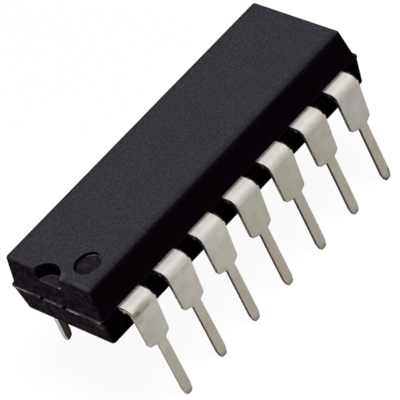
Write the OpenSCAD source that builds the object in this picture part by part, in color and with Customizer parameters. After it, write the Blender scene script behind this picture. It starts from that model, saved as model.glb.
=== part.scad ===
// Dual in-line integrated circuit with fourteen leads, standing on its lead tips.
// The lead row with leads 1 to 7 is on the -Y side, and the end with the notch is at -X.

/* [Moulded body] */
// From the middle of the last lead to the end face, at the parting line
end_margin = 1.96; // [1.75:0.01:2.2]
// Width of the body at the parting line
body_w = 6.35; // [6.1:0.01:6.6]
// Height of the upper half, above the parting line
upper_h = 1.83; // [1.5:0.01:2.1]
// Height of the lower half, below the parting line
lower_h = 1.7; // [1.4:0.01:2]
// Draft of the upper half's walls, in degrees
upper_draft = 6.5; // [4:0.5:10]
// Draft of the lower half's walls, in degrees
lower_draft = 6; // [4:0.5:10]
// Ledge all round, where the lower half is larger than the upper one
ledge = 0.08; // [0.04:0.01:0.16]
// Radius along the edges of the top
top_edge_r = 0.2; // [0.04:0.01:0.24]
// Radius along the edges of the underside
under_edge_r = 0.1; // [0.04:0.01:0.24]
// How far the flash stands out from the parting line
flash_out = 0.04; // [0.02:0.01:0.08]
// Thickness of the flash
flash_h = 0.1; // [0.05:0.01:0.15]

/* [Marks on the body] */
// Diameter of the round notch in the end, at the top
notch_d = 1.92; // [1.7:0.02:2.1]
// Diameter of the notch at its floor
notch_floor_d = 1.66; // [1.4:0.02:1.7]
// How far the notch runs in from the end face's top edge
notch_reach = 0.68; // [0.5:0.02:0.85]
// Depth of the notch below the top
notch_depth = 0.72; // [0.4:0.02:1]
// Diameter of the dimple beside lead 1
dimple_d = 1.5; // [1:0.05:1.6]
// Depth of the dimple
dimple_depth = 0.2; // [0.05:0.01:0.3]
// Slope width of the dimple's wall
dimple_slope = 0.06; // [0.02:0.01:0.1]
// From the top's end edge to the middle of the dimple
dimple_from_end = 1.38; // [1.1:0.01:1.6]
// From the top's long edge to the middle of the dimple
dimple_from_side = 1.33; // [1.1:0.01:1.5]
// Diameter of the ejector marks on the underside
ejector_d = 1.5; // [1:0.1:2]
// Depth of the ejector marks
ejector_depth = 0.06; // [0.03:0.01:0.1]
// Distance between the two ejector marks
ejector_gap = 10.4; // [8:0.2:12]

/* [Leads] */
// Distance between neighbouring leads
pitch = 2.54; // [2.5:0.01:2.6]
// Thickness of the lead frame
lead_t = 0.25; // [0.2:0.01:0.3]
// Width over the shoulders of both rows, at the bends
shoulder_span = 8.1; // [8:0.05:8.6]
// Inner radius of the bends
bend_r = 0.2; // [0.15:0.01:0.25]
// How far each row leans outward, in degrees
splay = 2.6; // [0.5:0.1:5]
// Width of a shoulder at the body
shoulder_w = 1.58; // [1.4:0.01:1.7]
// Width of a shoulder at its foot
foot_w = 1.38; // [1.1:0.01:1.5]
// How far the foot sits off the pin's middle, towards the start of its row
foot_shift = 0.09; // [0:0.01:0.12]
// Radius on the corners of the foot
foot_r = 0.14; // [0.08:0.01:0.18]
// How much lower the foot is beside the pin than at its corners
foot_drop = 0.19; // [0.05:0.01:0.25]
// Width of the pin below the shoulder
pin_w = 0.52; // [0.42:0.01:0.54]
// Length of the pin, from its tip up to the level of the foot's corners
pin_len = 3.86; // [3:0.02:4]
// Width of the pin's tip
tip_w = 0.4; // [0.34:0.01:0.42]
// Length over which the pin narrows to its tip
tip_taper = 0.46; // [0.3:0.02:0.6]
// Radius on the corners of the tip
tip_r = 0.16; // [0.08:0.01:0.17]
// How much the pin's two faces close in at the tip
tip_bevel = 0.06; // [0.03:0.01:0.08]
// Gap between the underside of the body and the feet of the shoulders
standoff = 0.74; // [0.5:0.01:1.2]
// How far the cut dam bar stands out from a shoulder's edge
stub_out = 0.05; // [0.03:0.01:0.08]
// Width of the cut dam bar
stub_w = 0.18; // [0.1:0.01:0.2]
// From the start of the bend back to the dam bar
stub_gap = 0.02; // [0.01:0.01:0.05]

/* [Lead frame inside the body] */
// Depth of a shoulder's root inside the body
root_depth = 0.35; // [0.3:0.01:0.4]
// Radius of the notches that lock a root into the moulding
lock_r = 0.1; // [0.06:0.01:0.12]
// Width of a finger
finger_w = 0.28; // [0.22:0.01:0.3]
// Straight stretch at the end of a finger
finger_end = 0.2; // [0.1:0.01:0.3]
// Gap between the fingers and the die pad
finger_gap = 0.2; // [0.15:0.01:0.3]
// Distance between the fingers along the die pad
finger_pitch = 0.9; // [0.8:0.01:0.95]
// Length of the die pad
pad_len = 4.2; // [4:0.05:4.6]
// Width of the die pad
pad_w = 2.4; // [2.2:0.05:2.6]
// How far the die pad sits off the middle, away from leads 1 to 7
pad_shift = 0.2; // [0:0.01:0.25]
// Width of a tie bar
tie_w = 0.25; // [0.2:0.01:0.28]
// Distance between the two tie bars of an end
tie_gap = 1.54; // [1.3:0.02:1.6]
// How far the cut end of a tie bar lies inside the end face
tie_recess = 0.16; // [0.08:0.01:0.25]

/* [Die and bond wires] */
// Length of the die
die_len = 2.6; // [2:0.1:3.4]
// Width of the die
die_w = 1.7; // [1.4:0.05:2]
// Thickness of the die
die_t = 0.3; // [0.2:0.01:0.4]
// Thickness of the layer that holds the die
attach_t = 0.03; // [0.02:0.01:0.05]
// How far the layer runs out past the die
attach_rim = 0.08; // [0.02:0.01:0.1]
// From the die's edge to the middle of a bond
bond_inset = 0.12; // [0.08:0.01:0.2]
// Distance between the bonds along the die
bond_pitch = 0.5; // [0.4:0.01:0.55]
// Diameter of a bond wire
wire_d = 0.03; // [0.025:0.005:0.04]
// Height of a bond wire's arch over the line between its ends
wire_rise = 0.28; // [0.2:0.01:0.35]
// Diameter of the bond at each end of a wire
bond_d = 0.09; // [0.08:0.01:0.12]
// Height of the bond at each end of a wire
bond_h = 0.04; // [0.04:0.01:0.06]

/* [Hidden] */
row_count = 7;
$fn = 48;
past = 1;

body_len = (row_count - 1) * pitch + 2 * end_margin;
parting_z = pin_len + standoff + lower_h;
top_z = parting_z + upper_h;
under_z = parting_z - lower_h;
upper_inset = upper_h * tan(upper_draft);
top_len = body_len - 2 * ledge - 2 * upper_inset;
top_w = body_w - 2 * ledge - 2 * upper_inset;

bend_out_r = bend_r + lead_t;
bend_y = shoulder_span / 2 - bend_out_r * cos(splay);
bend_z = parting_z - bend_out_r;
leg_len = (bend_z + (bend_r + tip_bevel) * sin(splay)) / cos(splay);
foot_at = (bend_z + bend_r * sin(splay) - pin_len) / cos(splay);

die_z = parting_z + attach_t;
bond_end_z = bond_h / 2;

// Leads 1 to 7 and 8 to 14 each run from -3 to 3 along their own row
function row_place(i) = (i - 1) % row_count - (row_count - 1) / 2;
function first_row(i) = i <= row_count;
// The die pad's middle, as the row sees it when it is turned to the -Y side
function pad_y(i) = first_row(i) ? pad_shift : -pad_shift;
function at_end(k) = abs(k) == (row_count - 1) / 2;

function finger_tip(k, y) = at_end(k)
    ? [sign(k) * (pad_len / 2 + finger_gap), y - pad_w / 2]
    : [k * finger_pitch, y - pad_w / 2 - finger_gap];
function finger_elbow(k, y) = finger_tip(k, y)
    + (at_end(k) ? [sign(k) * finger_end, 0] : [0, -finger_end]);
function finger_bond(k, y) = finger_tip(k, y)
    + (at_end(k) ? [sign(k) * finger_w / 2, 0] : [0, -finger_w / 2]);
function die_bond(k, y) = at_end(k)
    ? [sign(k) * (die_len / 2 - bond_inset), y - die_w / 4]
    : [k * bond_pitch, y - die_w / 2 + bond_inset];

function unit(v) = v / norm(v);
function left_of(v) = [-v[1], v[0]];

// Puts a row's piece on its own side of the body
module on_row(i) {
    rotate([0, 0, first_row(i) ? 0 : 180]) children();
}

// Section of one half of the body, standing on the parting line
module half_section(base, height, draft, edge_r) {
    top = base / 2 - height * tan(draft);
    cut = edge_r * tan((90 - draft) / 2);
    wall_x = top + cut * sin(draft);
    wall_y = height - cut * cos(draft);
    polygon([
        [-base / 2, 0],
        [base / 2, 0],
        [wall_x, wall_y],
        [top - cut, height],
        [cut - top, height],
        [-wall_x, wall_y]
    ]);
    for (side = [-1, 1]) translate([side * (top - cut), height - edge_r]) circle(edge_r);
}

// One half of the body: its long section crossed with its end section
module half_block(long, wide, height, draft, edge_r) {
    intersection() {
        rotate([90, 0, 0]) linear_extrude(wide, center = true)
            half_section(long, height, draft, edge_r);
        rotate([90, 0, 90]) linear_extrude(long, center = true)
            half_section(wide, height, draft, edge_r);
    }
}

module body_form() {
    translate([0, 0, parting_z]) {
        half_block(body_len - 2 * ledge, body_w - 2 * ledge, upper_h, upper_draft, top_edge_r);
        mirror([0, 0, 1]) half_block(body_len, body_w, lower_h, lower_draft, under_edge_r);
        translate([0, 0, -flash_h / 2])
            cube([body_len + 2 * flash_out, body_w + 2 * flash_out, flash_h], center = true);
    }
}

module notch() {
    translate([notch_reach - top_len / 2 - notch_d / 2, 0, top_z - notch_depth]) {
        cylinder(d1 = notch_floor_d, d2 = notch_d, h = notch_depth);
        translate([0, 0, notch_depth]) cylinder(d = notch_d, h = past);
    }
}

module dimple() {
    translate([dimple_from_end - top_len / 2, dimple_from_side - top_w / 2, top_z - dimple_depth]) {
        cylinder(d1 = dimple_d - 2 * dimple_slope, d2 = dimple_d, h = dimple_depth);
        translate([0, 0, dimple_depth]) cylinder(d = dimple_d, h = past);
    }
}

module ejector_marks() {
    for (side = [-1, 1])
        translate([side * ejector_gap / 2, 0, under_z - past])
            cylinder(d = ejector_d, h = ejector_depth + past);
}

// Holes in the end faces, where the tie bars were cut off
module tie_holes() {
    reach = body_len / 2 + flash_out + past;
    for (side = [-1, 1])
        translate([0, pad_shift + side * tie_gap / 2, parting_z - lead_t / 2])
            cube([2 * reach, tie_w, lead_t], center = true);
}

module body() {
    color("#38373d") difference() {
        body_form();
        notch();
        dimple();
        ejector_marks();
        tie_holes();
        die_pad();
        die_attach();
        die();
        for (i = [1:2 * row_count]) {
            on_row(i) lead_flat(row_place(i), pad_y(i));
            bond_wire(i);
        }
    }
}

module die_pad() {
    tie_end = body_len / 2 - tie_recess;
    color("#c9a37c") translate([0, pad_shift, parting_z - lead_t]) linear_extrude(lead_t) {
        square([pad_len, pad_w], center = true);
        for (side = [-1, 1])
            translate([0, side * tie_gap / 2]) square([2 * tie_end, tie_w], center = true);
    }
}

module die_attach() {
    color("#b9bcc0") translate([0, pad_shift, parting_z]) linear_extrude(attach_t)
        square([die_len + 2 * attach_rim, die_w + 2 * attach_rim], center = true);
}

module die() {
    color("#5c6470") translate([0, pad_shift, die_z]) linear_extrude(die_t)
        square([die_len, die_w], center = true);
}

// A straight strip from one point to another, with round ends
module strip(from, to, width) {
    side = left_of(unit(to - from)) * width / 2;
    polygon([from + side, to + side, to - side, from - side]);
    translate(from) circle(d = width);
}

// The flat part of a lead seen from above: shoulder, root and finger
module flat_outline(k, y) {
    side_y = -body_w / 2;
    root_y = side_y + root_depth;
    tip = finger_tip(k, y);
    elbow = finger_elbow(k, y);
    difference() {
        translate([k * pitch - shoulder_w / 2, -bend_y]) square([shoulder_w, bend_y + root_y]);
        for (side = [-1, 1])
            translate([k * pitch + side * shoulder_w / 2, (side_y + root_y) / 2]) circle(lock_r);
    }
    translate([k * pitch - shoulder_w / 2 - stub_out, stub_gap - bend_y])
        square([shoulder_w + 2 * stub_out, stub_w]);
    strip([k * pitch, root_y - finger_w / 2], elbow, finger_w);
    strip(elbow, tip, finger_w);
}

module lead_flat(k, y) {
    translate([0, 0, parting_z - lead_t]) linear_extrude(lead_t) flat_outline(k, y);
}

// Section of the bend, swept about an axis along the row
module lead_bend() {
    rotate([0, -90, 180]) translate([0, 0, -shoulder_w / 2])
        rotate_extrude(angle = 90 - splay) translate([bend_r, 0]) square([lead_t, shoulder_w]);
}

// One half of the leg seen from outside, drawn downward from the end of the bend
module leg_half(side) {
    shoulder = [side * shoulder_w / 2, 0];
    foot = [side * foot_w / 2 - foot_shift, -foot_at];
    inner = [side * pin_w / 2, -foot_at - foot_drop];
    up = unit(shoulder - foot);
    along = unit(inner - foot);
    turn = acos(up * along);
    cut = foot_r / tan(turn / 2);
    polygon([
        [0, 0],
        shoulder,
        foot + up * cut,
        foot + along * cut,
        inner,
        [side * pin_w / 2, tip_taper - leg_len],
        [side * tip_w / 2, tip_r - leg_len],
        [side * (tip_w / 2 - tip_r), -leg_len],
        [0, -leg_len]
    ]);
    translate(foot + unit(up + along) * foot_r / sin(turn / 2)) circle(foot_r);
    translate([side * (tip_w / 2 - tip_r), tip_r - leg_len]) circle(tip_r);
}

module leg_outline() {
    leg_half(-1);
    leg_half(1);
}

// The leg seen from its edge: its two faces close in at the tip
module leg_section() {
    polygon([
        [0, 0],
        [0, lead_t],
        [tip_taper / 2 - leg_len, lead_t],
        [-leg_len, lead_t - tip_bevel],
        [-leg_len, tip_bevel],
        [tip_taper / 2 - leg_len, 0]
    ]);
}

module lead_leg() {
    rotate([90 - splay, 0, 0]) translate([0, 0, bend_r]) intersection() {
        linear_extrude(lead_t) leg_outline();
        rotate([90, 0, 90]) linear_extrude(2 * shoulder_w, center = true) leg_section();
    }
}

module lead(i) {
    k = row_place(i);
    color("#c9c8c2") on_row(i) {
        lead_flat(k, pad_y(i));
        translate([k * pitch, -bend_y, bend_z]) {
            lead_bend();
            lead_leg();
        }
    }
}

// A wire in an arch from the die to a finger, with a bond at each end
module wire_arch(from, to) {
    run = norm([to[0] - from[0], to[1] - from[1]]);
    chord = norm(to - from);
    arch_r = (chord * chord / 4 + wire_rise * wire_rise) / (2 * wire_rise);
    half_turn = asin(chord / 2 / arch_r);
    translate((from + to) / 2)
        rotate([0, 0, atan2(to[1] - from[1], to[0] - from[0])])
        rotate([0, -atan2(to[2] - from[2], run), 0])
        translate([0, 0, wire_rise - arch_r])
        rotate([90, 0, 0]) rotate([0, 0, 90 - half_turn])
        rotate_extrude(angle = 2 * half_turn) translate([arch_r, 0]) circle(d = wire_d);
    for (end = [from, to])
        translate([end[0], end[1], end[2] - bond_end_z]) cylinder(d = bond_d, h = bond_h);
}

module bond_wire(i) {
    k = row_place(i);
    start = die_bond(k, pad_y(i));
    stop = finger_bond(k, pad_y(i));
    color("#d8b04a") on_row(i) wire_arch(
        [start[0], start[1], die_z + die_t + bond_end_z],
        [stop[0], stop[1], parting_z + bond_end_z]
    );
}

body();
die_pad();
die_attach();
die();
for (i = [1:2 * row_count]) {
    lead(i);
    bond_wire(i);
}
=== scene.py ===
"""A dual in-line chip with fourteen leads, on a pale floor, seen from above its notched end."""
import random
from math import acos, copysign, cos, pi, radians, sin, tan

import bmesh
import bpy
from mathutils import Matrix, Vector, noise


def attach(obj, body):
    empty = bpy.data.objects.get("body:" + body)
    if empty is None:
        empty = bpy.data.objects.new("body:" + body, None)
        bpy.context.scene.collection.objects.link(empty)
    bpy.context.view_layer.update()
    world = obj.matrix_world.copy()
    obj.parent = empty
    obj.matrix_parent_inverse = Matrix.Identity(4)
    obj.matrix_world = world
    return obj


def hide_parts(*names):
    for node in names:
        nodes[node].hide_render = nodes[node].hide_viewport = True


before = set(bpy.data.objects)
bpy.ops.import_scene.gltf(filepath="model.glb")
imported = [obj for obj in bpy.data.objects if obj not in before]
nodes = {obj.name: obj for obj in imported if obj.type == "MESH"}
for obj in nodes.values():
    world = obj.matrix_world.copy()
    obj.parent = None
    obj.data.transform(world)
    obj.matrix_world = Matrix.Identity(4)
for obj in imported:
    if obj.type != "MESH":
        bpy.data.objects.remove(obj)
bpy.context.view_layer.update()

MM = 0.001

# Driving sizes of the solids, as in the part's source, in millimetres and degrees
PITCH = 2.54
ROW_COUNT = 7
END_MARGIN = 1.96
BODY_W = 6.35
UPPER_H = 1.83
LOWER_H = 1.7
UPPER_DRAFT = 6.5
LOWER_DRAFT = 6
TOP_EDGE_R = 0.2
UNDER_EDGE_R = 0.1
LEDGE = 0.08
FLASH_OUT = 0.04
FLASH_H = 0.1
NOTCH_D = 1.92
NOTCH_FLOOR_D = 1.66
NOTCH_REACH = 0.68
NOTCH_DEPTH = 0.72
DIMPLE_D = 1.5
DIMPLE_DEPTH = 0.2
DIMPLE_SLOPE = 0.06
DIMPLE_FROM_END = 1.38
DIMPLE_FROM_SIDE = 1.33
EJECTOR_D = 1.5
EJECTOR_DEPTH = 0.06
EJECTOR_GAP = 10.4
LEAD_T = 0.25
SHOULDER_SPAN = 8.1
BEND_R = 0.2
SPLAY = radians(2.6)
SHOULDER_W = 1.58
FOOT_W = 1.38
FOOT_SHIFT = 0.09
FOOT_R = 0.14
FOOT_DROP = 0.19
PIN_W = 0.52
PIN_LEN = 3.86
TIP_W = 0.4
TIP_TAPER = 0.46
TIP_R = 0.16
TIP_BEVEL = 0.06
STANDOFF = 0.74
STUB_OUT = 0.05
STUB_W = 0.18
STUB_GAP = 0.02
ROOT_DEPTH = 0.35
LOCK_R = 0.1
FINGER_W = 0.28
FINGER_END = 0.2
FINGER_GAP = 0.2
FINGER_PITCH = 0.9
PAD_LEN = 4.2
PAD_W = 2.4
PAD_SHIFT = 0.2
TIE_W = 0.25
TIE_GAP = 1.54
TIE_RECESS = 0.16

# Sizes and places worked out from them; a row's places are in pitches from its middle
LEAD_COUNT = 2 * ROW_COUNT
ROW_PLACES = [n - (ROW_COUNT - 1) / 2 for n in range(ROW_COUNT)]
FIRST_X = ROW_PLACES[0] * PITCH
LAST_X = ROW_PLACES[-1] * PITCH
BODY_LEN = (ROW_COUNT - 1) * PITCH + 2 * END_MARGIN
PARTING_Z = PIN_LEN + STANDOFF + LOWER_H
TOP_Z = PARTING_Z + UPPER_H
UNDER_Z = PARTING_Z - LOWER_H
UPPER_INSET = UPPER_H * tan(radians(UPPER_DRAFT))
LOWER_INSET = LOWER_H * tan(radians(LOWER_DRAFT))
TOP_LEN = BODY_LEN - 2 * LEDGE - 2 * UPPER_INSET
TOP_W = BODY_W - 2 * LEDGE - 2 * UPPER_INSET
BEND_OUT_R = BEND_R + LEAD_T
BEND_Y = SHOULDER_SPAN / 2 - BEND_OUT_R * cos(SPLAY)
BEND_Z = PARTING_Z - BEND_OUT_R
BEND_TURN = pi / 2 - SPLAY
BEND_LEN = (BEND_R + LEAD_T / 2) * BEND_TURN
LEG_LEN = (BEND_Z + (BEND_R + TIP_BEVEL) * sin(SPLAY)) / cos(SPLAY)
LEAD_END = BEND_LEN + LEG_LEN
FOOT_AT = (BEND_Z + BEND_R * sin(SPLAY) - PIN_LEN) / cos(SPLAY)
NOTCH_X = NOTCH_REACH - TOP_LEN / 2 - NOTCH_D / 2
DIMPLE_X = DIMPLE_FROM_END - TOP_LEN / 2
DIMPLE_Y = DIMPLE_FROM_SIDE - TOP_W / 2

# Softness that the mould and the press leave on the edges
CORNER_R = 0.24
ROLLED_EDGE = 0.08
SHEARED_EDGE = 0.03
# Round rim and round floor edge of each recess, and how much narrower it is cut because its rim widens it
NOTCH_RIM, NOTCH_EDGE, NOTCH_SHRINK = 0.05, 0.09, 0.04
DIMPLE_RIM, DIMPLE_EDGE, DIMPLE_SHRINK = 0.03, 0.05, 0.05
EJECTOR_RIM, EJECTOR_EDGE, EJECTOR_SHRINK = 0.02, 0.02, 0.04
EJECTOR_SLOPE = 0.01
# Room round the root of a lead: beside and above it, under it and into the body
ROOT_ROOM = 0.02
ROOM_UNDER = 0.03
ROOM_DEPTH = 0.07
# How far the cutters reach out past the body
PAST_BODY = 0.2
# Where the dark rims of a lead's flat start, on its low and its high side, and half of the pin's flat core;
# the rims carry painted shade
LOW_RIM = 0.02 - SHOULDER_W / 2
HIGH_RIM = SHOULDER_W / 2 - 0.08
CORE = PIN_W / 2 - ROLLED_EDGE - 0.02
# How far the legs stray: a lean in degrees and a bow, and then the turned pin of the last lead
LEAN = 0.25
BOW = 0.012
PIN_TWIST = radians(17)
TWIST_RUN = 1.2
LAST_LEAN_OUT = 0.09

# Spans over which shades fade, in millimetres: across the top's long edges, then by height
# Painted shade along the top's long edges, then painted light on the side walls just below them
TOP_EDGE_SHADE = (TOP_W / 2 - 0.38, TOP_W / 2 - 0.1)
WALL_EDGE_LIGHT = (TOP_Z - 0.36, TOP_Z - 0.1)
# Painted bounce light on the ends' lower half fades out under the ridge, leaving a painted shade line there
UNDER_RIDGE = (PARTING_Z - 0.35, PARTING_Z - 0.1)
CREASE_Z = BEND_Z - 0.05
BEND_END = (CREASE_Z, CREASE_Z + 0.25)
PIN_TOP = (2.5, 3.9)
PIN_DULL = (1.5, 5.2)
PIN_BROWN = (2.2, 3.6)
TIP_DARK = (0.1, 0.45)
# The same for the painted shadow at the roots, by distance from the body's middle
ROOT_SHADOW_SPAN = (BODY_W / 2 + 0.03, BODY_W / 2 + 0.19)


# Material tools


def material(name):
    """New material, its node tree and its shader."""
    mat = bpy.data.materials.new(name)
    mat.use_nodes = True
    return mat, mat.node_tree, mat.node_tree.nodes["Principled BSDF"]


def coords(tree):
    return tree.nodes.new("ShaderNodeTexCoord").outputs["Object"]


def grain(tree, scale, detail=2.0, rough=0.5, squeeze=None):
    """Noise over the object's own place, with scale in spots per millimetre."""
    at = coords(tree)
    if squeeze:
        mapping = tree.nodes.new("ShaderNodeMapping")
        mapping.inputs["Scale"].default_value = squeeze
        tree.links.new(at, mapping.inputs["Vector"])
        at = mapping.outputs["Vector"]
    node = tree.nodes.new("ShaderNodeTexNoise")
    node.inputs["Scale"].default_value = scale / MM
    node.inputs["Detail"].default_value = detail
    node.inputs["Roughness"].default_value = rough
    tree.links.new(at, node.inputs["Vector"])
    return node.outputs["Fac"]


def ramp(tree, fac, stops):
    """Colours over a value from zero to one; each of the stops is (place, colour)."""
    node = tree.nodes.new("ShaderNodeValToRGB")
    while len(node.color_ramp.elements) < len(stops):
        node.color_ramp.elements.new(0.5)
    for element, (place, colour) in zip(node.color_ramp.elements, stops):
        element.position = place
        element.color = (*colour, 1)
    tree.links.new(fac, node.inputs["Fac"])
    return node.outputs["Color"]


def mixed(tree, fac, a, b, kind="MIX"):
    """Mix of two colours; each of the three may be a socket or a value."""
    node = tree.nodes.new("ShaderNodeMix")
    node.data_type = "RGBA"
    node.blend_type = kind
    for place, value in ((0, fac), (6, a), (7, b)):
        if isinstance(value, bpy.types.NodeSocket):
            tree.links.new(value, node.inputs[place])
        elif place:
            node.inputs[place].default_value = (*value, 1)
        else:
            node.inputs[place].default_value = value
    return node.outputs[2]


def toned(tree, base, tone, share=1.0):
    """A colour multiplied by a tone, wholly or by a share."""
    return mixed(tree, share, base, tone, "MULTIPLY")


def maths(tree, kind, a, b=0.0, c=0.0):
    node = tree.nodes.new("ShaderNodeMath")
    node.operation = kind
    for place, value in enumerate((a, b, c)):
        if isinstance(value, bpy.types.NodeSocket):
            tree.links.new(value, node.inputs[place])
        else:
            node.inputs[place].default_value = value
    return node.outputs[0]


def remap(tree, fac, low, high, to_low=0.0, to_high=1.0):
    """A value moved from one range to another and held within it."""
    node = tree.nodes.new("ShaderNodeMapRange")
    node.inputs["From Min"].default_value = low
    node.inputs["From Max"].default_value = high
    node.inputs["To Min"].default_value = to_low
    node.inputs["To Max"].default_value = to_high
    tree.links.new(fac, node.inputs["Value"])
    return node.outputs["Result"]


def axis(tree, name):
    """The object's own X, Y or Z."""
    node = tree.nodes.new("ShaderNodeSeparateXYZ")
    tree.links.new(coords(tree), node.inputs[0])
    return node.outputs[name]


def off_middle(tree, name):
    """Distance from the middle along X or Y."""
    return maths(tree, "ABSOLUTE", axis(tree, name))


def fade(tree, place, span, first=0.0, last=1.0):
    """Goes from the first value to the last while the place goes through a span in millimetres."""
    return remap(tree, place, span[0] * MM, span[1] * MM, first, last)


def tones_along(tree, name, span, tones):
    """Colours along an axis within a span; each of the tones is (place, colour), in millimetres."""
    low, high = span
    stops = [((place - low) / (high - low), colour) for place, colour in tones]
    return ramp(tree, fade(tree, axis(tree, name), span), stops)


def patch(tree, place, size):
    """One in the middle of a ragged patch, fading to zero; its place and half size are in millimetres."""
    wander = 0.3
    mapping = tree.nodes.new("ShaderNodeMapping")
    mapping.vector_type = "TEXTURE"
    mapping.inputs["Location"].default_value = Vector(place) * MM
    mapping.inputs["Scale"].default_value = Vector(size) * MM
    tree.links.new(coords(tree), mapping.inputs["Vector"])
    away = tree.nodes.new("ShaderNodeVectorMath")
    away.operation = "LENGTH"
    tree.links.new(mapping.outputs["Vector"], away.inputs[0])
    ragged = maths(tree, "MULTIPLY_ADD", grain(tree, 4.0, 3.0, 0.6), 2 * wander, away.outputs["Value"])
    return remap(tree, ragged, 0.5 + wander, 1.0 + wander, 1.0, 0.0)


def with_colour_patches(tree, base, colour_patches):
    """A colour with patches over it, each (place, half size, colour, strength), in millimetres: stains,
    wear, painted light and painted shade alike.
    """
    for place, size, colour, strength in colour_patches:
        base = mixed(tree, maths(tree, "MULTIPLY", patch(tree, place, size), strength), base, colour)
    return base


def bump(tree, shader, layers):
    """Layers of height, each (height, depth in millimetres), one over the other."""
    normal = None
    for height, depth in layers:
        node = tree.nodes.new("ShaderNodeBump")
        node.inputs["Distance"].default_value = depth * MM
        tree.links.new(height, node.inputs["Height"])
        if normal:
            tree.links.new(normal, node.inputs["Normal"])
        normal = node.outputs["Normal"]
    tree.links.new(normal, shader.inputs["Normal"])


def scaled(colour, factors):
    return tuple(c * k for c, k in zip(colour, factors))


def shades(mid, contrast):
    """Dark, middle and light version of a colour."""
    return tuple(scaled(mid, (k, k, k)) for k in (1 - 0.85 * contrast, 1, 1 + contrast))


# Moulded epoxy


def epoxy_shades(tree, dark, mid, light):
    """Colour of filled epoxy, a coarse grain over a fine one with paler specks, and the two grains."""
    fine = grain(tree, 9.0, 3.0, 0.6)
    coarse = grain(tree, 4.2, 2.0, 0.6)
    base = ramp(tree, fine, [(0.32, dark), (0.5, mid), (0.68, light)])
    base = mixed(tree, remap(tree, coarse, 0.35, 0.65, 0.35, 0.0), base, dark)
    specks = remap(tree, grain(tree, 16.0, 1.0), 0.68, 0.8, 0.0, 0.5)
    base = mixed(tree, specks, base, scaled(light, (2.2, 2.2, 2.2)))
    clouds = remap(tree, grain(tree, 0.7, 2.0), 0.3, 0.7, 0.0, 0.22)
    return mixed(tree, clouds, base, dark), fine, coarse


def end_blotches_and_painted_light(tree, dark, mid, light):
    """Colour of the ends: blotched, with painted bounce light on the lower half that leaves a painted shade
    line under the ridge.
    """
    blotches = grain(tree, 2.6, 4.0, 0.65, (1.0, 1.0, 1.3))
    base = ramp(tree, blotches, [(0.34, dark), (0.5, mid), (0.66, light)])
    spots = grain(tree, 6.5, 2.0, 0.6)
    base = mixed(tree, remap(tree, spots, 0.3, 0.5, 0.5, 0.0), base, dark)
    base = mixed(tree, remap(tree, spots, 0.6, 0.75, 0.0, 0.5), base, scaled(light, (1.5, 1.5, 1.5)))
    # Painted bounce light makes the lower half paler, fading out into a painted shade line just under the
    # ridge
    return toned(tree, base, (1.35, 1.4, 1.3), fade(tree, axis(tree, "Z"), UNDER_RIDGE, 1.0, 0.0))


def facing(tree):
    """How far a face looks up, and how far along X, each from zero to one."""
    split = tree.nodes.new("ShaderNodeSeparateXYZ")
    tree.links.new(tree.nodes.new("ShaderNodeTexCoord").outputs["Normal"], split.inputs[0])
    upward = remap(tree, split.outputs["Z"], 0.35, 0.9)
    endward = remap(tree, maths(tree, "ABSOLUTE", split.outputs["X"]), 0.45, 0.9)
    return upward, endward


def moulding(name, top, end, side, depth=0.004, contrast=0.5, marks=()):
    """Black epoxy, matt, in lit and shaded copies by facing: painted light where it faces up, paler painted
    bounce light on the blotched ends and the darkest painted shade on the long sides.
    """
    mat, tree, shader = material(name)
    top_base, fine, coarse = epoxy_shades(tree, *shades(top, contrast))
    end_base = end_blotches_and_painted_light(tree, *shades(end, 1.6 * contrast))
    side_base = epoxy_shades(tree, *shades(side, contrast))[0]
    # Painted shade darkens the long edges of the top, and painted light brightens the walls just below them
    top_base = mixed(tree, fade(tree, off_middle(tree, "Y"), TOP_EDGE_SHADE, 0.0, 0.33), top_base, side)
    side_base = toned(tree, side_base, (2.7, 3.6, 2.7), fade(tree, axis(tree, "Z"), WALL_EDGE_LIGHT))
    # Painted light and shade: colours for up-facing, end and side faces, mixed by the face's normal
    upward, endward = facing(tree)
    wall_base = mixed(tree, endward, side_base, end_base)
    base = with_colour_patches(tree, mixed(tree, upward, wall_base, top_base), marks)
    tree.links.new(base, shader.inputs["Base Color"])
    tree.links.new(remap(tree, fine, 0.3, 0.7, 0.62, 0.78), shader.inputs["Roughness"])
    shader.inputs["Specular IOR Level"].default_value = 0.0
    bump(tree, shader, [(fine, depth), (coarse, depth * 2.5)])
    return mat


RIDGE_X = 0.02 - BODY_LEN / 2
DIMPLE_FLOOR_Z = TOP_Z - DIMPLE_DEPTH
NOTCH_FLOOR_Z = TOP_Z - NOTCH_DEPTH - 0.01

# The top, end and side colours are lit and shaded copies: painted shade makes the long sides near black,
# painted bounce light makes the ends paler
EPOXY = moulding(
    "epoxy", top=(0.042, 0.0406, 0.050), end=(0.0148, 0.0098, 0.0145), side=(0.004, 0.002, 0.0042),
    marks=(
        ((-9.45, -2.75, 5.95), (0.3, 0.42, 0.4), (0.062, 0.053, 0.048), 0.8),
        ((-9.1, -0.9, TOP_Z), (0.3, 0.25, 0.2), (0.075, 0.064, 0.076), 0.8),
        ((-9.15, -2.3, TOP_Z - 0.01), (0.12, 0.9, 0.2), (0.060, 0.050, 0.060), 0.7),
        ((-8.05, -2.1, TOP_Z), (0.35, 0.25, 0.2), (0.062, 0.060, 0.070), 0.7),
    ),
)
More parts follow.
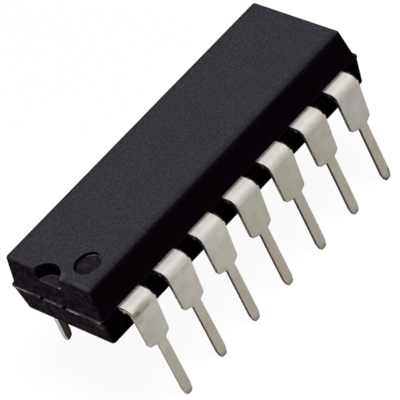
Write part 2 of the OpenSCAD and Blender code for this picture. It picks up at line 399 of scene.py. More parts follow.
# The parting ridge: its own paler epoxy with a painted highlight on it
RIDGE_AND_HIGHLIGHT = moulding(
    "parting_ridge_and_highlight", top=(0.14, 0.12, 0.14), end=(0.045, 0.036, 0.043), side=(0.006, 0.004, 0.006),
    depth=0.01, contrast=1.1,
    marks=(
        # Brighter and darker breaks in the ridge's painted highlight
        ((RIDGE_X, -2.95, PARTING_Z), (0.3, 0.16, 0.2), (0.20, 0.18, 0.16), 0.7),
        ((RIDGE_X, -1.2, PARTING_Z), (0.3, 0.5, 0.2), (0.26, 0.225, 0.26), 0.8),
        ((RIDGE_X, 2.5, PARTING_Z), (0.3, 0.6, 0.2), (0.22, 0.19, 0.22), 0.8),
        ((RIDGE_X, 1.4, PARTING_Z), (0.3, 0.25, 0.2), (0.02, 0.016, 0.02), 0.8),
        ((RIDGE_X, -1.9, PARTING_Z), (0.3, 0.2, 0.2), (0.02, 0.016, 0.02), 0.7),
    ),
)
PIN_MARK = moulding(
    "pin_mark", top=(0.021, 0.0165, 0.0225), end=(0.018, 0.013, 0.017), side=(0.002, 0.0015, 0.002),
    depth=0.02, contrast=1.0,
    marks=(
        ((-8.0, -1.3, DIMPLE_FLOOR_Z), (0.2, 0.25, 0.3), (0.034, 0.024, 0.030), 0.7),
        ((-8.45, -1.6, DIMPLE_FLOOR_Z), (0.42, 0.45, 0.3), (0.009, 0.010, 0.012), 0.75),
    ),
)
NOTCH_FLOOR = moulding(
    "notch_floor", top=(0.024, 0.0185, 0.0245), end=(0.018, 0.013, 0.017), side=(0.002, 0.0015, 0.002),
    depth=0.006, contrast=0.8,
    marks=(
        # Painted highlights: a pale line along the notch floor's front edge and a bright spot at its end
        ((-9.39, 0.1, NOTCH_FLOOR_Z), (0.12, 1.1, 0.2), (0.062, 0.054, 0.062), 0.7),
        ((-9.4, -0.62, NOTCH_FLOOR_Z), (0.14, 0.14, 0.2), (0.2, 0.18, 0.19), 0.9),
    ),
)
# Painted light on the lit part of the dimple's wall and rim
PAINTED_RIM_LIGHT = moulding(
    "painted_rim_light_epoxy", top=(0.06, 0.051, 0.06), end=(0.14, 0.117, 0.136), side=(0.05, 0.04, 0.05),
    depth=0.006, contrast=0.8,
)
# Painted shade: near-black epoxy on the notch's wall, the dimple's shaded side and the ledge along the long
# sides
PAINTED_SHADE = moulding(
    "painted_shade_epoxy", top=(0.004, 0.003, 0.004), end=(0.0015, 0.001, 0.0015), side=(0.0015, 0.001, 0.0015),
)
BODY_MATERIALS = (EPOXY, RIDGE_AND_HIGHLIGHT, PIN_MARK, PAINTED_SHADE, NOTCH_FLOOR, PAINTED_RIM_LIGHT)


# Plating and bare metal

# Painted shade and light of the tin round the bend: height from the top of the flat in millimetres, then the
# tone
BEND_SHADE_TONES = (
    (-1.0, 1.0), (-0.6, 1.05), (-0.37, 1.0), (-0.24, 0.86), (-0.15, 0.87), (-0.05, 0.955), (-0.003, 1.0),
)
# Tone of the tin below the bend along a row: place along X in millimetres, then the tone, within a span
ROW_SPAN = (-9, 9)
ROW_TONES = (
    (-1.71, (1.12, 1.12, 1.11)),
    (-0.9, (0.985, 0.96, 0.9)),
    (5.94, (0.985, 0.95, 0.9)),
    (6.75, (1.05, 1.03, 1.08)),
)
# Half width over which a lead goes from its darker to its paler side
FACE_HALF = 0.7


def cloudy_tin(tree, clouds, dark, mid, light):
    """Colour of the tin: its clouds, in a tint that changes over broader ones."""
    base = ramp(tree, clouds, [(0.3, dark), (0.5, mid), (0.7, light)])
    tint = ramp(tree, grain(tree, 0.8, 2.0), [
        (0.4, (0.96, 1.0, 0.93)),
        (0.5, (1.0, 1.0, 1.0)),
        (0.6, (1.0, 0.97, 0.97)),
    ])
    return toned(tree, base, tint)


def leg_tones(tree, base):
    """Below the bend the tone changes along the row, and each lead is paler on its side of the higher X."""
    below = fade(tree, axis(tree, "Z"), BEND_END, 1.0, 0.0)
    share = maths(tree, "MULTIPLY", below, fade(tree, axis(tree, "Z"), PIN_TOP, 0.5, 1.0))
    base = toned(tree, base, tones_along(tree, "X", ROW_SPAN, ROW_TONES), share)
    aside = maths(tree, "WRAP", axis(tree, "X"), PITCH / 2 * MM, -PITCH / 2 * MM)
    return toned(tree, base, fade(tree, aside, (-FACE_HALF, FACE_HALF), 0.955, 1.045), share)


def bend_painted_shade(tree, base):
    """Painted shade darkens the fold of the bend against the flat above it, and painted light brightens the
    face just below it.
    """
    tones = [(PARTING_Z + rise, (tone, tone, tone)) for rise, tone in BEND_SHADE_TONES]
    return toned(tree, base, tones_along(tree, "Z", (tones[0][0], tones[-1][0]), tones))


def root_painted_shadow(tree, base, streaks):
    """A thin, uneven painted shadow where the lead leaves the body."""
    out = maths(tree, "MULTIPLY_ADD", streaks, 0.04 * MM, off_middle(tree, "Y"))
    return mixed(tree, fade(tree, out, ROOT_SHADOW_SPAN, 0.85, 0.0), base, (0.006, 0.004, 0.006))


def warm_crease_shade(tree, base, mid):
    """A warm, patchy painted shade where the bend ends."""
    from_crease = maths(tree, "ABSOLUTE", maths(tree, "SUBTRACT", axis(tree, "Z"), CREASE_Z * MM))
    patches = remap(tree, grain(tree, 1.1, 2.0), 0.45, 0.65)
    warm = maths(tree, "MULTIPLY", fade(tree, from_crease, (0.0, 0.35), 1.0, 0.0), patches)
    return mixed(tree, maths(tree, "MULTIPLY", warm, 0.5), base, scaled(mid, (0.88, 0.76, 0.68)))


def pin_shades(tree, base, mid):
    """Down its pin a lead gets warmer and duller, with brown patches, and its tip is dark."""
    dull = fade(tree, axis(tree, "Z"), PIN_DULL, 0.75, 0.0)
    base = mixed(tree, dull, base, scaled(mid, (0.95, 0.89, 0.8)))
    patches = remap(tree, grain(tree, 1.5, 3.0, 0.6), 0.47, 0.6, 0.0, 0.8)
    brown = maths(tree, "MULTIPLY", patches, fade(tree, axis(tree, "Z"), PIN_BROWN, 1.0, 0.0))
    base = mixed(tree, brown, base, scaled(mid, (0.98, 0.84, 0.74)))
    tip = fade(tree, axis(tree, "Z"), TIP_DARK, 0.6, 0.0)
    return mixed(tree, tip, base, scaled(mid, (0.42, 0.45, 0.4)))


def plating(name, light, mid, dark, rough, colour_patches=()):
    """Dull tin plate: broad clouds, fine streaks along the lead and tones that change from root to tip,
    among them painted shade at the root, the fold and the crease and painted light below the fold.
    """
    mat, tree, shader = material(name)
    clouds = grain(tree, 1.3, 4.0, 0.6)
    streaks = grain(tree, 9.0, 2.0, 0.5, (1.0, 0.18, 0.18))
    base = cloudy_tin(tree, clouds, dark, mid, light)
    # Less yellow on the flat and round the bend
    base = toned(tree, base, (0.965, 0.95, 1.01), fade(tree, axis(tree, "Z"), BEND_END))
    base = leg_tones(tree, base)
    base = bend_painted_shade(tree, base)
    base = root_painted_shadow(tree, base, streaks)
    base = warm_crease_shade(tree, base, mid)
    base = pin_shades(tree, base, mid)
    base = with_colour_patches(tree, base, colour_patches)
    base = mixed(tree, remap(tree, streaks, 0.35, 0.65, 0.0, 0.14), base, dark)
    tree.links.new(base, shader.inputs["Base Color"])
    tree.links.new(remap(tree, clouds, 0.3, 0.7, *rough), shader.inputs["Roughness"])
    shader.inputs["Metallic"].default_value = 0.2
    shader.inputs["Specular IOR Level"].default_value = 0.2
    bump(tree, shader, [(clouds, 0.006), (streaks, 0.0015)])
    return mat


def rough_metal(name, dark, light, scale=12.0, rough=(0.45, 0.7), metallic=1.0, shaded_ends=None):
    """Spotted metal, optionally with painted shade in one colour beyond a distance from the middle along X,
    given as (distance, colour).
    """
    mat, tree, shader = material(name)
    spots = grain(tree, scale, 3.0, 0.6)
    base = ramp(tree, spots, [(0.35, dark), (0.65, light)])
    if shaded_ends:
        start, colour = shaded_ends
        base = mixed(tree, fade(tree, off_middle(tree, "X"), (start - 0.1, start)), base, colour)
    tree.links.new(base, shader.inputs["Base Color"])
    tree.links.new(remap(tree, spots, 0.3, 0.7, *rough), shader.inputs["Roughness"])
    shader.inputs["Metallic"].default_value = metallic
    bump(tree, shader, [(spots, 0.003)])
    return mat


TIN_SHADES = ((0.725, 0.71, 0.655), (0.66, 0.645, 0.59), (0.595, 0.58, 0.52))
TIN_ROUGHNESS = (0.72, 0.85)
TIN = plating("tin", *TIN_SHADES, TIN_ROUGHNESS)
# Dark band, brown spot and warm rim at the bend of lead 1
STAINED_TIN = plating("stained_tin", *TIN_SHADES, TIN_ROUGHNESS, colour_patches=(
    ((FIRST_X - 0.18, -4.03, 5.96), (0.8, 0.4, 0.28), (0.33, 0.31, 0.24), 0.75),
    ((FIRST_X - 0.66, -3.8, 6.22), (0.32, 0.35, 0.25), (0.72, 0.69, 0.48), 0.4),
    ((FIRST_X - 0.60, -4.03, 5.93), (0.34, 0.3, 0.19), (0.20, 0.13, 0.085), 0.85),
    ((FIRST_X - 0.58, -4.06, 5.6), (0.3, 0.3, 0.35), (0.58, 0.45, 0.37), 0.5),
))
# Black tip of lead 7
BLACK_TIPPED_TIN = plating("black_tipped_tin", *TIN_SHADES, TIN_ROUGHNESS, colour_patches=(
    ((LAST_X - 0.2, -4.3, 0.12), (0.16, 0.5, 0.2), (0.012, 0.012, 0.013), 0.95),
    ((LAST_X + 0.18, -4.3, 0.45), (0.1, 0.5, 0.35), (0.14, 0.14, 0.125), 0.8),
))
# Inner faces of the leads in painted shade, with a painted shadow down the edge of lead 14's pin and a dark
# tip
SHADED_INNER_TIN = plating(
    "shaded_inner_tin", (0.21, 0.185, 0.13), (0.16, 0.14, 0.098), (0.11, 0.096, 0.068), (0.6, 0.75),
    colour_patches=(
        ((FIRST_X + 0.26, 4.1, 0.8), (0.18, 0.6, 3.0), (0.010, 0.009, 0.009), 0.95),
        ((FIRST_X + 0.07, 4.1, 0.0), (0.5, 0.6, 0.36), (0.008, 0.007, 0.007), 1.0),
    ),
)
# Bare sheared metal, made darker still as painted shade
SHEARED_AND_SHADED = rough_metal("sheared_and_shaded_edge", (0.02, 0.016, 0.013), (0.09, 0.078, 0.066))
# Pale edge for the end side of lead 14: painted light
LIT_END_EDGE = rough_metal("lit_end_edge", (0.54, 0.53, 0.51), (0.76, 0.74, 0.72), 8.0, (0.4, 0.6), 0.4)
SHOULDER_EDGE = rough_metal("shoulder_edge", (0.05, 0.042, 0.033), (0.34, 0.31, 0.25), 7.0, (0.5, 0.7), 0.7)
# Dimmer painted light for the end side of lead 1
DIM_LIT_END_EDGE = rough_metal("dim_lit_end_edge", (0.30, 0.28, 0.23), (0.44, 0.42, 0.36), 8.0, (0.6, 0.75), 0.3)
# The tie bars' ends inside the tie holes are painted dark as shade
COPPER = rough_metal(
    "copper_alloy", (0.50, 0.30, 0.18), (0.68, 0.46, 0.31), 3.0, (0.25, 0.4),
    shaded_ends=(9.0, (0.008, 0.006, 0.005)),
)
PASTE = rough_metal("silver_paste", (0.36, 0.37, 0.39), (0.60, 0.61, 0.63), 20.0, (0.5, 0.7), 0.6)
SILICON = rough_metal("silicon", (0.05, 0.06, 0.08), (0.16, 0.17, 0.21), 5.0, (0.12, 0.2), 0.7)
GOLD = rough_metal("wire_gold", (0.65, 0.45, 0.14), (0.85, 0.65, 0.28), 8.0, (0.15, 0.3))


# Mesh tools


def new_object(name, bm, *mats):
    """Object made of a finished mesh, with its materials in the order of its slots."""
    mesh = bpy.data.meshes.new(name)
    bm.to_mesh(mesh)
    bm.free()
    obj = bpy.data.objects.new(name, mesh)
    bpy.context.collection.objects.link(obj)
    for mat in mats:
        mesh.materials.append(mat)
    return obj


def applied(obj):
    """Applies the object's modifiers to its mesh."""
    graph = bpy.context.evaluated_depsgraph_get()
    mesh = bpy.data.meshes.new_from_object(obj.evaluated_get(graph))
    obj.modifiers.clear()
    obj.data = mesh
    return obj


def combine(obj, others, operation):
    """Cuts other objects out of an object, or joins them to it, one by one."""
    for other in others:
        step = obj.modifiers.new("combine", "BOOLEAN")
        step.operation = operation
        step.solver = "EXACT"
        step.object = other
        applied(obj)
        bpy.data.objects.remove(other)


def soft_shading(obj, angle):
    """Smooth shading, but for edges that turn by more than an angle in degrees."""
    mesh = obj.data
    mesh.shade_smooth()
    mesh.set_sharp_from_angle(angle=radians(angle))
    step = obj.modifiers.new("normals", "WEIGHTED_NORMAL")
    step.keep_sharp = True
    step.weight = 90
    return applied(obj)


def skin(bm, rings):
    """Joins rings of points from one end to the other, with a flat face over each end."""
    for a, b in zip(rings, rings[1:]):
        for i in range(len(a)):
            j = (i + 1) % len(a)
            bm.faces.new((a[i], a[j], b[j], b[i]))
    bm.faces.new(rings[0][::-1])
    bm.faces.new(rings[-1])
    bmesh.ops.recalc_face_normals(bm, faces=bm.faces)


def arc(cx, cz, r, start, stop, steps):
    """Points of an arc in a profile, with angles in degrees from the outward direction."""
    angles = [radians(start + (stop - start) * n / steps) for n in range(steps + 1)]
    return [(cx + r * cos(a), cz + r * sin(a)) for a in angles]


def turned(name, profile):
    """Closed solid of revolution from (radius, height) points, in millimetres."""
    steps = 72
    bm = bmesh.new()
    rings = []
    for r, z in profile:
        rings.append([
            bm.verts.new((r * MM * cos(2 * pi * n / steps), r * MM * sin(2 * pi * n / steps), z * MM))
            for n in range(steps)
        ])
    skin(bm, rings)
    return new_object(name, bm)


def box(name, corner, opposite):
    """Box between two opposite corners, in any order, in millimetres."""
    low = Vector([min(a, b) for a, b in zip(corner, opposite)])
    high = Vector([max(a, b) for a, b in zip(corner, opposite)])
    size, middle = high - low, (high + low) / 2
    bm = bmesh.new()
    bmesh.ops.create_cube(bm, size=1)
    for v in bm.verts:
        v.co = Vector([v.co[i] * size[i] + middle[i] for i in range(3)]) * MM
    return new_object(name, bm)


# Moulded body


def outline(half_len, half_w, radius):
    """Points round a rectangle with round corners, the same count at every level."""
    corner_steps, across_steps, along_steps = 6, 26, 72
    corners = []
    for quarter, (x, y) in enumerate(((1, -1), (1, 1), (-1, 1), (-1, -1))):
        start = 90 * (quarter - 1)
        middle = x * (half_len - radius), y * (half_w - radius)
        corners.append(arc(*middle, radius, start, start + 90, corner_steps))
    points = []
    for quarter, corner in enumerate(corners):
        (x, y), (next_x, next_y) = corner[-1], corners[(quarter + 1) % 4][0]
        steps = along_steps if quarter % 2 else across_steps
        points += corner
        points += [(x + (next_x - x) * n / steps, y + (next_y - y) * n / steps) for n in range(1, steps)]
    return points


def rounded(inset, z, radius, draft, side):
    """Levels of a wall's round end edge: inset and height of each point, from the wall to the face."""
    steps = 8
    turn = 90 - draft
    cut = radius * tan(radians(turn / 2))
    angles = [radians(draft + turn * n / steps) for n in range(steps + 1)]
    return [(inset + cut - radius * cos(a), z + side * radius * (sin(a) - 1)) for a in angles]


def body_levels():
    """Levels of the body from the underside up: inset from the body's size and height."""
    lower_tan, upper_tan = tan(radians(LOWER_DRAFT)), tan(radians(UPPER_DRAFT))
    under_edge = rounded(LOWER_INSET, UNDER_Z, UNDER_EDGE_R, LOWER_DRAFT, -1)[::-1]
    lower_wall = [(down * lower_tan, PARTING_Z - down) for down in (0.9, 0.36, FLASH_H + 0.03)]
    # The flash has soft lips
    flash = [
        (FLASH_H * lower_tan - 0.012, PARTING_Z - FLASH_H),
        (0.014 - FLASH_OUT, PARTING_Z - FLASH_H + 0.008),
        (-FLASH_OUT, PARTING_Z - FLASH_H + 0.028),
        (-FLASH_OUT, PARTING_Z - 0.024),
        (0.018 - FLASH_OUT, PARTING_Z - 0.003),
        (0.04 - FLASH_OUT, PARTING_Z),
    ]
    ledge = [(0.02, PARTING_Z), (LEDGE - 0.03, PARTING_Z), (LEDGE - 0.008, PARTING_Z + 0.006)]
    upper_wall = [(LEDGE + rise * upper_tan, PARTING_Z + rise) for rise in (0.03, 0.5)]
    top_edge = rounded(LEDGE + UPPER_INSET, TOP_Z, TOP_EDGE_R, UPPER_DRAFT, 1)
    return under_edge + lower_wall + flash + ledge + upper_wall + top_edge


def torn(x, y, inset):
    """A point of the flash's lip, pulled in here and there, because the flash is a torn edge."""
    near = 0.3
    wander = 0.5 + 0.5 * noise.noise(Vector((x * 1.7, y * 1.7, 4.0)))
    wander += 0.35 * noise.noise(Vector((x * 6.0, y * 6.0, 9.0)))
    pull = -inset * 0.55 * min(max(wander, 0.0), 1.0)
    at_end = abs(x) > BODY_LEN / 2 - inset - near
    at_side = abs(y) > BODY_W / 2 - inset - near
    return x - copysign(pull, x) * at_end, y - copysign(pull, y) * at_side


def body_form():
    bm = bmesh.new()
    rings = []
    for inset, z in body_levels():
        corner_r = max(CORNER_R - 0.4 * inset, 0.08)
        points = outline(BODY_LEN / 2 - inset, BODY_W / 2 - inset, corner_r)
        if inset < 0:
            points = [torn(x, y, inset) for x, y in points]
        rings.append([bm.verts.new((x * MM, y * MM, z * MM)) for x, y in points])
    skin(bm, rings)
    return new_object("moulded_body", bm, *BODY_MATERIALS)


def dish(name, diameter, floor_diameter, depth, rim_r, edge_r):
    """Cutter for a round recess below z = 0, with a sloped wall, a round rim and a round floor edge."""
    above, steps = 0.5, 5
    slope = (diameter - floor_diameter) / 2 / depth
    edge_at = floor_diameter / 2 + edge_r * slope - edge_r
    rim_at = diameter / 2 - rim_r * slope + rim_r
    profile = arc(edge_at, edge_r - depth, edge_r, -90, 0, steps)
    profile += [(rim_at - x, z) for x, z in arc(0, -rim_r, rim_r, 0, 90, steps)]
    return turned(name, profile + [(rim_at, above)])


def mark_cutters():
    """Cutters of the notch and of the dimple."""
    floor_d = NOTCH_FLOOR_D - NOTCH_SHRINK
    notch = dish("notch_cutter", NOTCH_D - NOTCH_SHRINK, floor_d, NOTCH_DEPTH, NOTCH_RIM, NOTCH_EDGE)
    notch.location = Vector((NOTCH_X, 0, TOP_Z)) * MM
    cut_d = DIMPLE_D - DIMPLE_SHRINK
    dimple = dish("dimple_cutter", cut_d, cut_d - 2 * DIMPLE_SLOPE, DIMPLE_DEPTH, DIMPLE_RIM, DIMPLE_EDGE)
    dimple.location = Vector((DIMPLE_X, DIMPLE_Y, TOP_Z)) * MM
    return [notch, dimple]


def ejector_cutter(end):
    """Cutter of one of the two shallow marks in the underside."""
    cut_d = EJECTOR_D - EJECTOR_SHRINK
    mark = dish("ejector_cutter", cut_d, cut_d - 2 * EJECTOR_SLOPE, EJECTOR_DEPTH, EJECTOR_RIM, EJECTOR_EDGE)
    at = Vector((end * EJECTOR_GAP / 2, 0, UNDER_Z)) * MM
    mark.matrix_world = Matrix.Translation(at) @ Matrix.Rotation(pi, 4, "X")
    return mark


def tie_cutter(end, side):
    """Cutter of the small hole that a cut tie bar leaves in an end."""
    y = PAD_SHIFT + side * TIE_GAP / 2
    return box(
        "tie_cutter",
        (end * (BODY_LEN / 2 - TIE_RECESS), y - TIE_W / 2, PARTING_Z - LEAD_T),
        (end * (BODY_LEN / 2 + PAST_BODY), y + TIE_W / 2, PARTING_Z + ROOT_ROOM),
    )


def root_cutter(place, side):
    """Cutter of the room round a lead where it leaves the body."""
    x, half = place * PITCH, SHOULDER_W / 2 + ROOT_ROOM
    return box(
        "root_cutter",
        (x - half, side * (BODY_W / 2 - ROOM_DEPTH), PARTING_Z - LEAD_T - ROOM_UNDER),
        (x + half, side * (BODY_W / 2 + PAST_BODY), PARTING_Z + ROOT_ROOM),
    )


def dimple_material(at, normal):
    """Rough floor of the dimple, and its wall in painted shade on one side and under half its rim, with
    painted light on the rest; none elsewhere.
    """
    off = Vector((at.x - DIMPLE_X, at.y - DIMPLE_Y))
    if off.length > DIMPLE_D / 2 - 0.03 or not TOP_Z - DIMPLE_DEPTH - 0.01 < at.z < TOP_Z - 0.03:
        return None
    if off.length < DIMPLE_D / 2 - 0.16 or normal.z > 0.98:
        return PIN_MARK
    dark_side = off.dot(Vector((-0.62, 0.78))) / off.length > 0.3
    dark_rim = at.z > TOP_Z - 0.09 and off.y > 0
    return PAINTED_SHADE if dark_side or dark_rim else PAINTED_RIM_LIGHT


def notch_material(at, normal):
    """Rough floor of the notch, and painted shade on its wall; none elsewhere."""
    off = Vector((at.x - NOTCH_X, at.y))
    if off.length > NOTCH_D / 2 + 0.02 or not TOP_Z - NOTCH_DEPTH - 0.01 < at.z < TOP_Z - 0.04:
        return None
    if normal.z > 0.9:
        return NOTCH_FLOOR
    return PAINTED_SHADE if normal.z < 0.7 and abs(at.x) < BODY_LEN / 2 - LEDGE - 0.25 else None


def parting_material(at, normal):
    """Pale ridge round the ends of the parting line, its own paler epoxy with a painted highlight, and
    painted shade on its ledge along the sides; none elsewhere.
    """
    if abs(at.z - PARTING_Z) > 0.05:
        return None
    if abs(at.x) > BODY_LEN / 2 - 0.02:
        return RIDGE_AND_HIGHLIGHT
    return PAINTED_SHADE if normal.z > 0.5 and abs(at.y) > BODY_W / 2 - LEDGE - 0.02 else None


def body_material(at, normal):
    """Material of a face of the body, by its middle in millimetres and its normal."""
    own = dimple_material(at, normal) or notch_material(at, normal) or parting_material(at, normal)
    return own or EPOXY


def make_body():
    body = body_form()
    cutters = mark_cutters()
    for side in (-1, 1):
        cutters.append(ejector_cutter(side))
        cutters += [tie_cutter(end, side) for end in (-1, 1)]
        cutters += [root_cutter(place, side) for place in ROW_PLACES]
    bpy.context.view_layer.update()
    combine(body, cutters, "DIFFERENCE")
    for face in body.data.polygons:
        face.material_index = BODY_MATERIALS.index(body_material(face.center / MM, face.normal))
    return soft_shading(body, 32)


# Leads; each is drawn flat as (across, along), with along from the start of its bend, and is then bent

# Slots of the materials on a lead: sheared sides and flat rims in painted shade over bare metal, end sides
# in painted light, inner faces in painted shade
OUTER_FACE, SHEARED_SHADED_SIDE, END_SIDE, INNER_FACE, SHOULDER_SIDE = range(5)


def round_foot(foot, up, down):
    """Points of a foot's round corner, between the directions up to the shoulder and down to the pin."""
    steps = 6
    turn = acos(up.dot(down))
    centre = foot + (up + down).normalized() * FOOT_R / sin(turn / 2)
    cut = FOOT_R / tan(turn / 2)
    start, stop = foot + down * cut - centre, foot + up * cut - centre
    swing = start.angle_signed(stop)
    points = []
    for n in range(steps + 1):
        a = -swing * n / steps
        x, y = start.x * cos(a) - start.y * sin(a), start.x * sin(a) + start.y * cos(a)
        points.append(centre + Vector((x, y)))
    return points


def leg_side(shift):
    """One side of a lead from the tip back to the end of its bend; the shift moves its foot outwards."""
    foot = Vector((FOOT_W / 2 + shift, FOOT_AT))
    up = (Vector((SHOULDER_W / 2, 0)) - foot).normalized()
    down = (Vector((PIN_W / 2, FOOT_AT + FOOT_DROP)) - foot).normalized()
    points = [
        (TIP_W / 2 - TIP_R + TIP_R * sin(radians(a)), LEG_LEN - TIP_R + TIP_R * cos(radians(a)))
        for a in range(0, 91, 18)
    ]
    points += [(PIN_W / 2, LEG_LEN - TIP_TAPER), (PIN_W / 2, FOOT_AT + FOOT_DROP)]
    points += [tuple(p) for p in round_foot(foot, up, down)]
    points.append((SHOULDER_W / 2, 0))
    return [(across, along + BEND_LEN) for across, along in points]


def root_side():
    """One side of a lead from its bend into the body: a worn dam-bar stub and a lock notch."""
    wide, out = SHOULDER_W / 2, SHOULDER_W / 2 + STUB_OUT
    near, far = -STUB_GAP, -STUB_GAP - STUB_W
    body_at = BODY_W / 2 - BEND_Y
    lock_at = body_at - ROOT_DEPTH / 2
    points = [(wide, near + 0.015), (out - 0.02, near), (out, near - 0.025)]
    points += [(out, far + 0.025), (out - 0.02, far), (wide, far - 0.015)]
    points += [
        (wide - LOCK_R * sin(radians(a)), lock_at + LOCK_R * cos(radians(a)))
        for a in range(0, 181, 30)
    ]
    points.append((wide, body_at - ROOT_DEPTH))
    return points


def extruded(bm, points, z_low, z_high):
    """Adds a flat shape with an outline of (x, y) points between two heights, in millimetres."""
    face = bm.faces.new([bm.verts.new((x * MM, y * MM, z_low * MM)) for x, y in points])
    made = bmesh.ops.extrude_face_region(bm, geom=[face])
    for v in made["geom"]:
        if isinstance(v, bmesh.types.BMVert):
            v.co.z = z_high * MM
    bmesh.ops.recalc_face_normals(bm, faces=bm.faces)


def flat_lead():
    """The flat lead without its finger: rolled edges on the outer face, sharper ones on the inner face."""
    right = leg_side(-FOOT_SHIFT) + root_side()
    left = leg_side(FOOT_SHIFT) + root_side()
    bm = bmesh.new()
    extruded(bm, right + [(-across, along) for across, along in reversed(left)], 0, LEAD_T)
    for level, offset in ((LEAD_T, ROLLED_EDGE), (0, SHEARED_EDGE)):
        rim = [e for e in bm.edges if all(abs(v.co.z - level * MM) < 1e-9 for v in e.verts)]
        bmesh.ops.bevel(
            bm, geom=rim, offset=offset * MM, segments=3, profile=0.5, affect="EDGES", clamp_overlap=True,
        )
    bmesh.ops.recalc_face_normals(bm, faces=bm.faces)
    return bm


def pressed_slot(face, number):
    """Slot of a face of the flat lead; the press leaves the cut sides bare, most at the tip and the feet,
    and they take painted shade, but the outermost end sides take painted light.
    """
    across, along, up = face.normal
    if abs(up) < (0.95 if along > 0.25 else 0.3):
        outermost = number == 1 and across < -0.3 or number == LEAD_COUNT and across > 0.3
        return END_SIDE if outermost else SHEARED_SHADED_SIDE
    return INNER_FACE if up < -0.3 else OUTER_FACE


def rim_and_shoulder_slot(face):
    """The same after the cuts: dark rims of painted shade along the flat, and paler sides on the shoulder.
    """
    across, along, _ = face.calc_center_median() / MM
    slot = face.material_index
    if slot == OUTER_FACE and not LOW_RIM < across < HIGH_RIM and along < 0.8 * BEND_LEN:
        return SHEARED_SHADED_SIDE
    on_shoulder = BEND_LEN + 0.7 < along < BEND_LEN + FOOT_AT
    if slot == SHEARED_SHADED_SIDE and abs(face.normal.x) > 0.3 and on_shoulder:
        return SHOULDER_SIDE
    return slot


def cut_at(bm, places, normal):
    """Cuts the faces with planes at some places along a normal, in millimetres."""
    for place in places:
        bmesh.ops.bisect_plane(
            bm, geom=list(bm.verts) + list(bm.edges) + list(bm.faces),
            plane_co=[n * place * MM for n in normal], plane_no=normal, dist=1e-9,
        )


def cut_lead(bm):
    """Cuts the flat lead where it bends, along its leg and feet, at its tip and along its rims and core."""
    bend_steps, leg_step, tip_steps = 14, 0.3, 5
    places = [BEND_LEN * n / bend_steps for n in range(bend_steps + 1)]
    places += [BEND_LEN + leg_step * n for n in range(1, int((LEG_LEN - TIP_TAPER) / leg_step))]
    places += [LEAD_END - TIP_TAPER / 2 * n / tip_steps for n in range(1, tip_steps + 1)]
    places += [BEND_LEN + FOOT_AT + past for past in (-FOOT_R, 0, FOOT_DROP + 0.05)]
    cut_at(bm, places, (0, 1, 0))
    cut_at(bm, (LOW_RIM, -CORE, CORE, HIGH_RIM), (1, 0, 0))


def bevelled(along, up):
    """Height in the lead's thickness of a point once its tip is bevelled."""
    shut = max(along - (LEAD_END - TIP_TAPER / 2), 0) / (TIP_TAPER / 2)
    return LEAD_T / 2 + (up - LEAD_T / 2) * (1 - shut * shut * TIP_BEVEL / (LEAD_T / 2))


def twisted(across, up, below):
    """A point of the last lead, whose pin has been turned about its length and leans out."""
    turn = PIN_TWIST * min(max(below - FOOT_AT - FOOT_DROP, 0) / TWIST_RUN, 1)
    out = up - LEAD_T / 2
    lean_out = LAST_LEAN_OUT * below / LEG_LEN
    return (
        across * cos(turn) + out * sin(turn),
        LEAD_T / 2 + out * cos(turn) - across * sin(turn) + lean_out,
    )


def bent(across, along, up):
    """Where a point of the flat lead goes once the lead is bent."""
    if along <= 0:
        return Vector((across, -BEND_Y - along, PARTING_Z - LEAD_T + up))
    turn = BEND_TURN * min(along / BEND_LEN, 1)
    r = BEND_R + up
    past = max(along - BEND_LEN, 0)
    return Vector((
        across,
        -BEND_Y - r * sin(turn) - past * cos(turn),
        BEND_Z + r * cos(turn) - past * sin(turn),
    ))


def finger_line(place, pad_y):
    """Middle line of a lead's finger inside the body: its root, its elbow and its end beside the pad."""
    root = Vector((place * PITCH, ROOT_DEPTH - BODY_W / 2 - FINGER_W / 2))
    if abs(place) == ROW_PLACES[-1]:
        sign = copysign(1, place)
        end = Vector((sign * (PAD_LEN / 2 + FINGER_GAP), pad_y - PAD_W / 2))
        return root, end + Vector((sign * FINGER_END, 0)), end
    end = Vector((place * FINGER_PITCH, pad_y - PAD_W / 2 - FINGER_GAP))
    return root, end - Vector((0, FINGER_END)), end


def make_finger(place, pad_y):
    root, elbow, end = finger_line(place, pad_y)
    half = FINGER_W / 2
    first, last = (elbow - root).normalized(), (end - elbow).normalized()
    first_side, last_side = Vector((-first.y, first.x)), Vector((-last.y, last.x))
    miter = (first_side + last_side).normalized()
    miter *= half / miter.dot(first_side)
    left = [root + first_side * half, elbow + miter, end + last_side * half]
    right = [end - last_side * half, elbow - miter, root - first_side * half]
    bm = bmesh.new()
    extruded(bm, left + right, PARTING_Z - LEAD_T, PARTING_Z)
    return new_object("finger", bm)


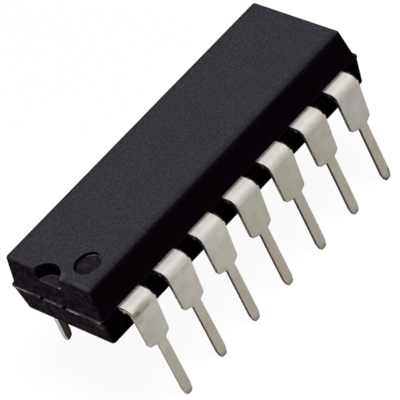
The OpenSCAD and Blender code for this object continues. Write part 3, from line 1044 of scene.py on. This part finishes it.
def make_lead(number):
    """A lead of the first row, turned round to the other side where it belongs to the second row."""
    first_row = number <= ROW_COUNT
    place = ROW_PLACES[(number - 1) % ROW_COUNT]
    dice = random.Random(number)
    lean = radians(dice.uniform(-LEAN, LEAN))
    bow = dice.uniform(-BOW, BOW)
    bm = flat_lead()
    for face in bm.faces:
        face.material_index = pressed_slot(face, number)
    cut_lead(bm)
    for face in bm.faces:
        face.material_index = rim_and_shoulder_slot(face)
    for v in bm.verts:
        across, along, up = v.co / MM
        up = bevelled(along, up)
        below = max(along - BEND_LEN, 0)
        across += below * tan(lean) + bow * sin(pi * below / LEG_LEN)
        if number == LEAD_COUNT:
            across, up = twisted(across, up, below)
        v.co = (bent(across, along, up) + Vector((place * PITCH, 0, 0))) * MM
    bmesh.ops.recalc_face_normals(bm, faces=bm.faces)
    tin = {1: STAINED_TIN, ROW_COUNT: BLACK_TIPPED_TIN}.get(number, TIN)
    # The end sides of leads 1 and 14 take painted light
    end_edge = DIM_LIT_END_EDGE if number == 1 else LIT_END_EDGE
    lead = new_object(f"dressed_lead_{number}", bm, tin, SHEARED_AND_SHADED, end_edge, SHADED_INNER_TIN, SHOULDER_EDGE)
    combine(lead, [make_finger(place, PAD_SHIFT if first_row else -PAD_SHIFT)], "UNION")
    if not first_row:
        lead.data.transform(Matrix.Rotation(pi, 4, "Z"))
    return soft_shading(lead, 40)


# The object

body = make_body()
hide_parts("body")
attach(body, "root")

for number in range(1, LEAD_COUNT + 1):
    lead = make_lead(number)
    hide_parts(f"lead_{number}")
    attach(lead, "root")

inner_materials = {"die_pad": COPPER, "die_attach": PASTE, "die": SILICON}
for name, obj in nodes.items():
    mat = GOLD if name.startswith("bond_wire") else inner_materials.get(name)
    if mat:
        for slot in obj.material_slots:
            slot.link = "OBJECT"
            slot.material = mat


# Floor, light and camera


def seen(tree):
    """One where the camera, a reflection or a view through glass looks, else zero."""
    path = tree.nodes.new("ShaderNodeLightPath")
    most = maths(tree, "MAXIMUM", path.outputs["Is Camera Ray"], path.outputs["Is Glossy Ray"])
    return maths(tree, "MAXIMUM", most, path.outputs["Is Transmission Ray"])


def plain(tree, kind, colour, strength=None):
    """Diffuse, emission or background shader of one colour."""
    node = tree.nodes.new(f"ShaderNode{kind}")
    node.inputs["Color"].default_value = (*colour, 1)
    if strength is not None:
        node.inputs["Strength"].default_value = strength
    return node.outputs[0]


def blended(tree, share, first, second):
    """Mix of two shaders."""
    node = tree.nodes.new("ShaderNodeMixShader")
    for place, socket in enumerate((share, first, second)):
        tree.links.new(socket, node.inputs[place])
    return node.outputs[0]


def make_floor():
    """Floor that looks pale and keeps the shadow, but throws little light back at the object."""
    bpy.ops.mesh.primitive_plane_add(size=3.0, location=(0, 0, 0))
    floor = bpy.context.object
    floor.name = "floor"
    mat = bpy.data.materials.new("pale_floor")
    mat.use_nodes = True
    tree = mat.node_tree
    tree.nodes.clear()
    out = tree.nodes.new("ShaderNodeOutputMaterial")
    dim = plain(tree, "BsdfDiffuse", (0.035, 0.03, 0.034))
    pale = plain(tree, "BsdfDiffuse", (0.95, 0.95, 0.95))
    white = plain(tree, "Emission", (1, 1, 1), 1.0)
    # How white the camera sees it, and how white a reflection does
    direct, reflected = 0.94, 0.25
    path = tree.nodes.new("ShaderNodeLightPath")
    share = maths(tree, "MULTIPLY_ADD", path.outputs["Is Camera Ray"], direct - reflected, reflected)
    bright = blended(tree, share, pale, white)
    tree.links.new(blended(tree, seen(tree), dim, bright), out.inputs[0])
    floor.data.materials.append(mat)


def make_world():
    """Faint light from all round, and a white background."""
    world = bpy.data.worlds.new("studio")
    bpy.context.scene.world = world
    world.use_nodes = True
    tree = world.node_tree
    tree.nodes.clear()
    out = tree.nodes.new("ShaderNodeOutputWorld")
    fill = plain(tree, "Background", (1, 0.86, 0.97), 0.03)
    white = plain(tree, "Background", (1, 1, 1), 1.0)
    tree.links.new(blended(tree, seen(tree), fill, white), out.inputs[0])


def lamp(name, place, size, watts, target=(0, 0, 0.006)):
    """Round soft lamp that looks at its target, in metres."""
    data = bpy.data.lights.new(name, "AREA")
    data.shape = "DISK"
    data.size = size
    data.energy = watts
    obj = bpy.data.objects.new(name, data)
    bpy.context.collection.objects.link(obj)
    obj.location = place
    obj.visible_camera = False
    obj.rotation_euler = (Vector(place) - Vector(target)).to_track_quat("Z", "Y").to_euler()


def make_camera():
    """Camera at the photo's viewing angle, as fitted to points measured in it."""
    data = bpy.data.cameras.new("camera")
    data.sensor_fit = "HORIZONTAL"
    data.sensor_width = 36.0
    data.lens = 331.1
    data.clip_start = 0.005
    data.clip_end = 20
    camera = bpy.data.objects.new("camera", data)
    bpy.context.collection.objects.link(camera)
    right = Vector((0.63481, -0.69718, -0.33311))
    up = Vector((0.66547, 0.27424, 0.69422))
    back = Vector((-0.39264, -0.66237, 0.63804))
    at = Vector((-69.636, -117.381, 117.260)) * MM
    camera.matrix_world = Matrix((
        (right.x, up.x, back.x, at.x),
        (right.y, up.y, back.y, at.y),
        (right.z, up.z, back.z, at.z),
        (0, 0, 0, 1),
    ))
    bpy.context.scene.camera = camera


make_floor()
make_world()
lamp("key", place=(0.02, -0.10, 0.365), size=0.16, watts=1.42)
lamp("bounce", place=(-0.030, 0.006, 0.0015), size=0.024, watts=0.0062, target=(-0.0096, 0, 0.0065))
lamp("front", place=(-0.08, -0.20, 0.06), size=0.2, watts=0.105)
make_camera()
bpy.context.scene.view_settings.view_transform = "Standard"
